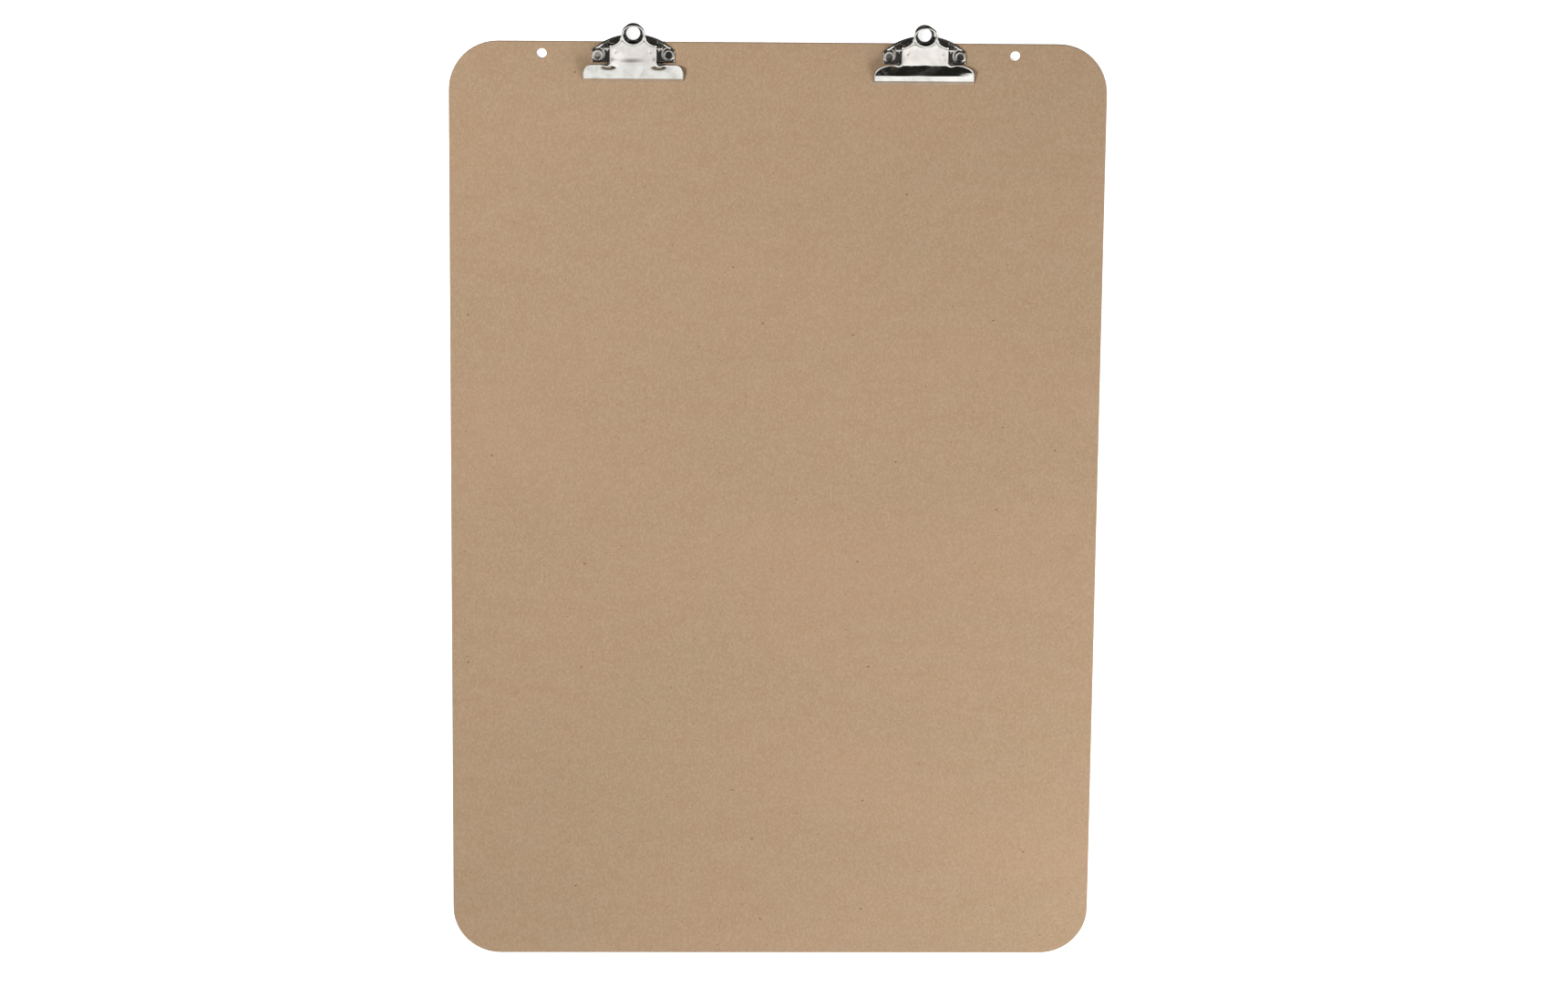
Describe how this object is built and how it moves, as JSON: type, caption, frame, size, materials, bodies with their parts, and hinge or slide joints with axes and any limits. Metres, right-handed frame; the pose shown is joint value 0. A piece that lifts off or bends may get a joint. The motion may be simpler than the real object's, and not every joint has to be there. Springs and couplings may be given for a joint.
{
  "type": "clipboard",
  "caption": "Large hardboard clipboard with sprung butterfly clips on its top edge and plain hanging holes in its top corners.",
  "frame": {"origin": "centre of the board's flat back face", "axes": "+Z out of the writing face, +Y towards the edge that carries the clips, +X to the right seen from the front"},
  "size_m": [0.66, 0.9702, 0.0321],
  "materials": {
    "hardboard": "smooth tempered hardboard, satin, with faint mottling and dark fibre specks",
    "chrome_plate": "bright plated pressed steel",
    "plated_pin": "plated, slightly dull heads",
    "nickel_rivet": "nickel plated, satin in the dish",
    "spring_wire": "drawn spring wire",
    "steel_burr": "plain punched steel"
  },
  "bodies": {
    "root": {"board": "hardboard", "left_base_plate": "chrome_plate", "left_hinge_pin": "plated_pin", "left_torsion_spring": "spring_wire", "left_rivet_outer": "nickel_rivet", "left_rivet_inner": "nickel_rivet", "left_burr_outer": "steel_burr", "left_burr_inner": "steel_burr", "right_base_plate": "chrome_plate", "right_hinge_pin": "plated_pin", "right_torsion_spring": "spring_wire", "right_rivet_outer": "nickel_rivet", "right_rivet_inner": "nickel_rivet", "right_burr_outer": "steel_burr", "right_burr_inner": "steel_burr"},
    "left_jaw": {"left_jaw_plate": "chrome_plate"},
    "right_jaw": {"right_jaw_plate": "chrome_plate"}
  },
  "joints": [
    {"name": "left_jaw_hinge", "type": "hinge", "parent": "root", "child": "left_jaw", "pos_m": [-0.1457, 0.4699, 0.0145], "axis": [-1, 0, 0], "range_deg": [0, 35], "stiffness_Nm_per_rad": 1, "springref_deg": -34.38, "deforming": ["left_torsion_spring"]},
    {"name": "right_jaw_hinge", "type": "hinge", "parent": "root", "child": "right_jaw", "pos_m": [0.1457, 0.4699, 0.0145], "axis": [-1, 0, 0], "range_deg": [0, 35], "stiffness_Nm_per_rad": 1, "springref_deg": -34.38, "deforming": ["right_torsion_spring"]}
  ]
}
